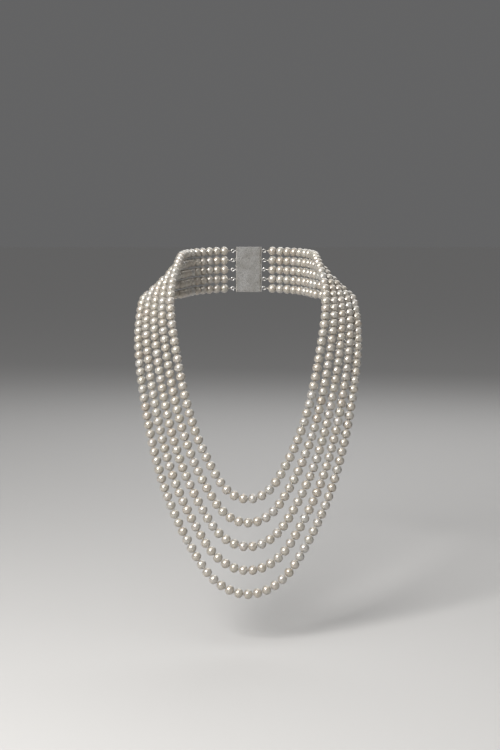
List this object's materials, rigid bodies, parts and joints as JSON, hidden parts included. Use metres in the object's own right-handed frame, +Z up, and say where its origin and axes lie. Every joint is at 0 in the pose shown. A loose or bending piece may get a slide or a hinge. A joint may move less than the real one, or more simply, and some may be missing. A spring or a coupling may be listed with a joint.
{
  "type": "multi-strand pearl necklace",
  "caption": "Multi-strand necklace of round ivory pearls fanning from a sprung box clasp at the nape into nested front curves; strands lift and the clasp draws open.",
  "frame": {"origin": "middle of the clasp's inner face, where it lies on the nape", "axes": "+X towards the viewer's right when the front is looked at, -Y towards the front, +Z up; the lowest point of the longest strand is at -Z"},
  "size_m": [0.1696, 0.1738, 0.2459],
  "materials": {
    "pearl": "ivory pearl lustre, satin-smooth with soft highlights",
    "silk": "twisted silk cord, matte",
    "coiled_wire": "fine coiled silver wire",
    "clasp_silver": "satin silver, lightly polished",
    "spring_silver": "hard-rolled silver sheet, satin"
  },
  "bodies": {
    "back_and_shoulders": {"inner_shoulder_pearls": "pearl", "inner_shoulder_thread": "silk", "second_shoulder_pearls": "pearl", "second_shoulder_thread": "silk", "middle_shoulder_pearls": "pearl", "middle_shoulder_thread": "silk", "fourth_shoulder_pearls": "pearl", "fourth_shoulder_thread": "silk", "outer_shoulder_pearls": "pearl", "outer_shoulder_thread": "silk", "box_shell": "clasp_silver", "box_rings": "clasp_silver", "box_guards": "coiled_wire", "box_knots": "silk"},
    "inner_chest": {"inner_chest_pearls": "pearl", "inner_chest_thread": "silk"},
    "inner_drop": {"inner_drop_pearls": "pearl", "inner_drop_thread": "silk"},
    "second_chest": {"second_chest_pearls": "pearl", "second_chest_thread": "silk"},
    "second_drop": {"second_drop_pearls": "pearl", "second_drop_thread": "silk"},
    "middle_chest": {"middle_chest_pearls": "pearl", "middle_chest_thread": "silk"},
    "middle_drop": {"middle_drop_pearls": "pearl", "middle_drop_thread": "silk"},
    "fourth_chest": {"fourth_chest_pearls": "pearl", "fourth_chest_thread": "silk"},
    "fourth_drop": {"fourth_drop_pearls": "pearl", "fourth_drop_thread": "silk"},
    "outer_chest": {"outer_chest_pearls": "pearl", "outer_chest_thread": "silk"},
    "outer_drop": {"outer_drop_pearls": "pearl", "outer_drop_thread": "silk"},
    "shoulder_side_run": {"shoulder_side_pearls": "pearl", "shoulder_side_threads": "silk"},
    "clasp_side_run": {"clasp_side_pearls": "pearl", "clasp_side_threads": "silk", "tongue_guards": "coiled_wire", "tongue_knots": "silk"},
    "tongue_half": {"tongue_bar": "clasp_silver", "tongue_leaf": "clasp_silver", "tongue_rings": "clasp_silver"},
    "spring_leaf": {"spring_leaf": "spring_silver"}
  },
  "joints": [
    {"name": "inner_chest_lift", "type": "hinge", "parent": "back_and_shoulders", "child": "inner_chest", "pos_m": [0, -0.13098, -0.07606], "axis": [-1, 0, 0], "range_deg": [0, 20]},
    {"name": "inner_drop_lift", "type": "hinge", "parent": "inner_chest", "child": "inner_drop", "pos_m": [0, -0.14824, -0.12545], "axis": [-1, 0, 0], "range_deg": [0, 20]},
    {"name": "second_chest_lift", "type": "hinge", "parent": "back_and_shoulders", "child": "second_chest", "pos_m": [0, -0.12675, -0.07426], "axis": [-1, 0, 0], "range_deg": [0, 20]},
    {"name": "second_drop_lift", "type": "hinge", "parent": "second_chest", "child": "second_drop", "pos_m": [0, -0.14849, -0.13544], "axis": [-1, 0, 0], "range_deg": [0, 20]},
    {"name": "middle_chest_lift", "type": "hinge", "parent": "back_and_shoulders", "child": "middle_chest", "pos_m": [0, -0.12201, -0.07229], "axis": [-1, 0, 0], "range_deg": [0, 20]},
    {"name": "middle_drop_lift", "type": "hinge", "parent": "middle_chest", "child": "middle_drop", "pos_m": [0, -0.14866, -0.14528], "axis": [-1, 0, 0], "range_deg": [0, 20]},
    {"name": "fourth_chest_lift", "type": "hinge", "parent": "back_and_shoulders", "child": "fourth_chest", "pos_m": [0, -0.11725, -0.07108], "axis": [-1, 0, 0], "range_deg": [0, 20]},
    {"name": "fourth_drop_lift", "type": "hinge", "parent": "fourth_chest", "child": "fourth_drop", "pos_m": [0, -0.14941, -0.15703], "axis": [-1, 0, 0], "range_deg": [0, 20]},
    {"name": "outer_chest_lift", "type": "hinge", "parent": "back_and_shoulders", "child": "outer_chest", "pos_m": [0, -0.11433, -0.07394], "axis": [-1, 0, 0], "range_deg": [0, 20]},
    {"name": "outer_drop_lift", "type": "hinge", "parent": "outer_chest", "child": "outer_drop", "pos_m": [0, -0.14939, -0.16627], "axis": [-1, 0, 0], "range_deg": [0, 20]},
    {"name": "shoulder_side_bend", "type": "hinge", "parent": "back_and_shoulders", "child": "shoulder_side_run", "pos_m": [0.05083, -0.03769, 0], "axis": [0, 0, -1], "range_deg": [0, 14.25]},
    {"name": "middle_bend", "type": "hinge", "parent": "shoulder_side_run", "child": "clasp_side_run", "pos_m": [0.03872, -0.01369, 0], "axis": [0, 0, 1], "range_deg": [0, 19.7]},
    {"name": "clasp_side_bend", "type": "hinge", "parent": "clasp_side_run", "child": "tongue_half", "pos_m": [0.0138, 0.00185, 0], "axis": [0, 0, -1], "range_deg": [0, 5.4]},
    {"name": "spring_leaf_press", "type": "hinge", "parent": "tongue_half", "child": "spring_leaf", "pos_m": [0.00585, 0.00187, 0], "axis": [0, 0, -1], "range_deg": [0, 10], "stiffness_Nm_per_rad": 0.02}
  ],
  "couplings": [
    {"joint": "middle_bend", "follows": "shoulder_side_bend", "ratio": 1.375},
    {"joint": "clasp_side_bend", "follows": "shoulder_side_bend", "ratio": 0.375}
  ]
}
